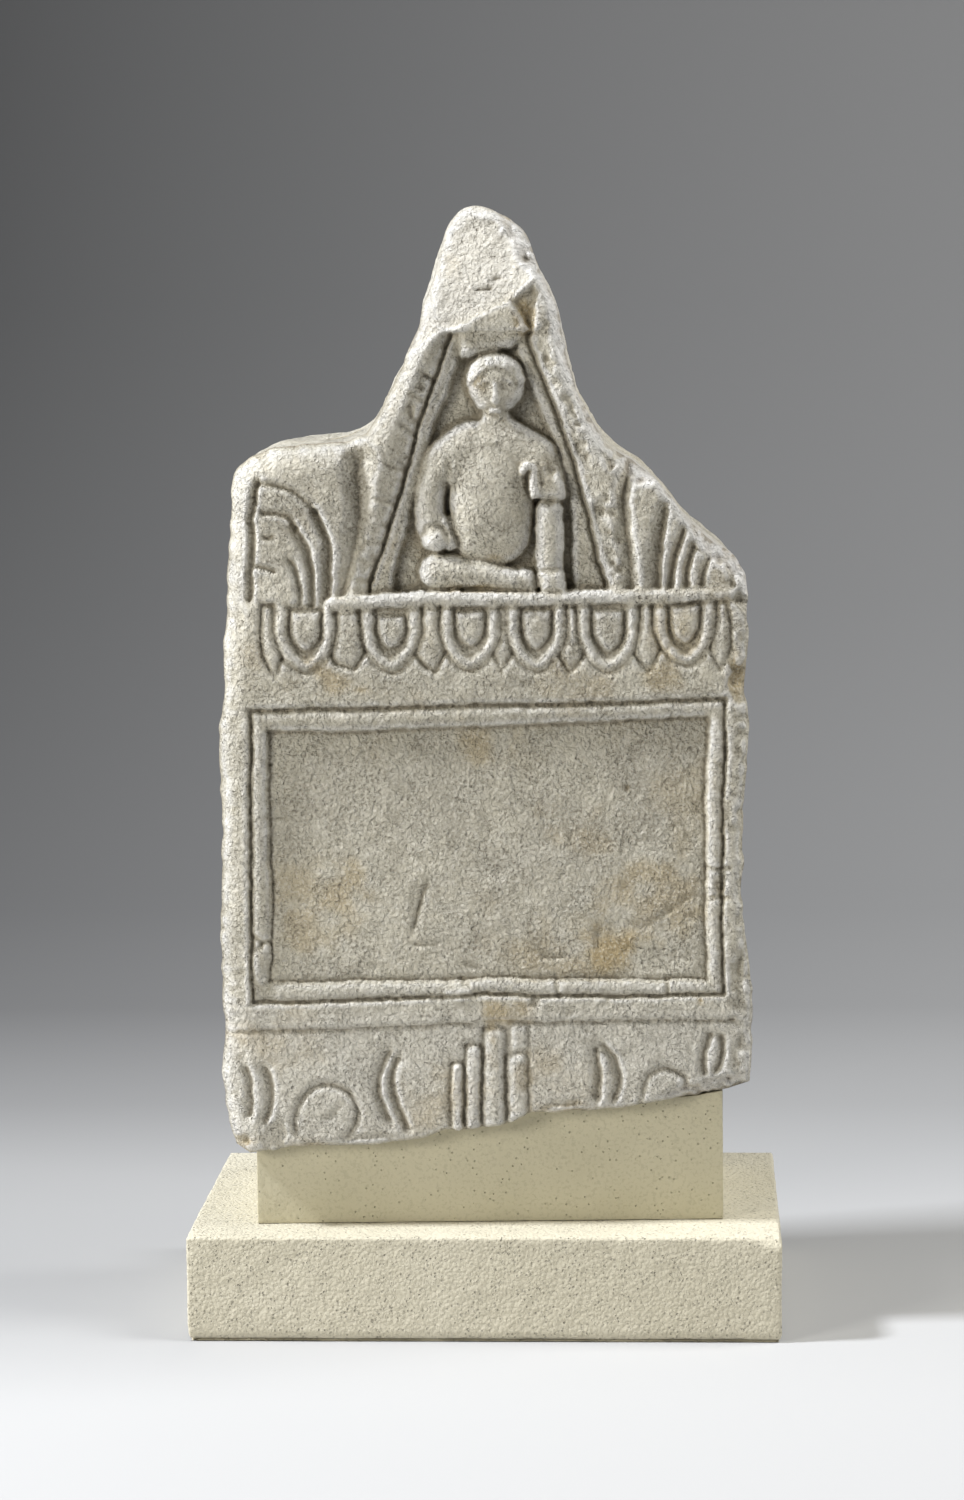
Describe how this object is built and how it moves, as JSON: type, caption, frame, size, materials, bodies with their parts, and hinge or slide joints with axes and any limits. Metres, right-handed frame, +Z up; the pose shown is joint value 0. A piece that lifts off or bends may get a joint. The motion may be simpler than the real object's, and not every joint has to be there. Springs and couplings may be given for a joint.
{
  "type": "carved stone votive stele on a two-step plinth",
  "caption": "Broken limestone stele with a niche figure, egg-and-dart band and blank framed tablet, standing on a block and slab plinth.",
  "frame": {"origin": "centre of the underside of the base slab", "axes": "+Z up, the carved front faces -Y, +X to the right of someone who looks at the front"},
  "size_m": [0.191, 0.1138, 0.3604],
  "materials": {
    "limestone": "weathered pale limestone with ochre stains, matt",
    "smooth_cast_stone": "smooth greenish beige cast stone with pinholes, matt",
    "grainy_cast_stone": "grainy cream cast stone with open pores, matt"
  },
  "bodies": {
    "root": {"stele": "limestone", "support_block": "smooth_cast_stone", "base_slab": "grainy_cast_stone"}
  },
  "joints": []
}
